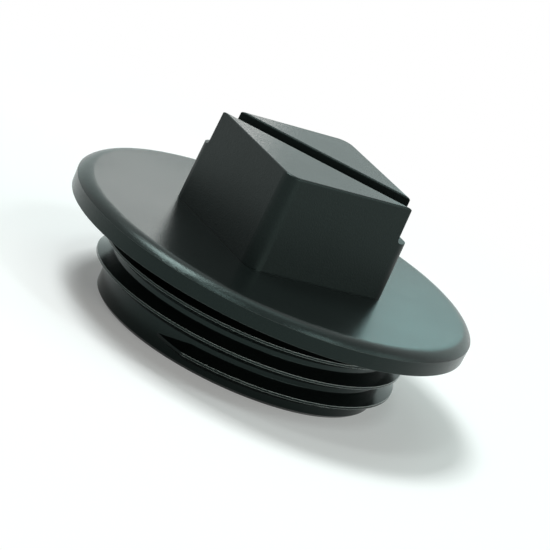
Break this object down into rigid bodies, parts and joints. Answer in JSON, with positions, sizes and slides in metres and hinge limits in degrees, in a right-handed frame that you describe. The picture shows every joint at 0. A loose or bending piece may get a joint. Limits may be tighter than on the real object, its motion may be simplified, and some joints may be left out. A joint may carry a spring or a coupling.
{
  "type": "screw plug",
  "caption": "Moulded pipe screw plug: square wrench head with a diagonal screwdriver slot, round sealing flange and a short, hollow, right-handed external thread.",
  "frame": {"origin": "centre of the flat sealing face under the flange, on the thread's axis", "axes": "+Z along the thread's axis out of the pipe, towards the top of the square head; X and Y square to the head's four flats"},
  "size_m": [0.0344, 0.0344, 0.0168],
  "materials": {
    "black_plastic": "black moulded plastic, satin with a fine grain"
  },
  "bodies": {
    "root": {"screw_plug": "black_plastic"}
  },
  "joints": []
}
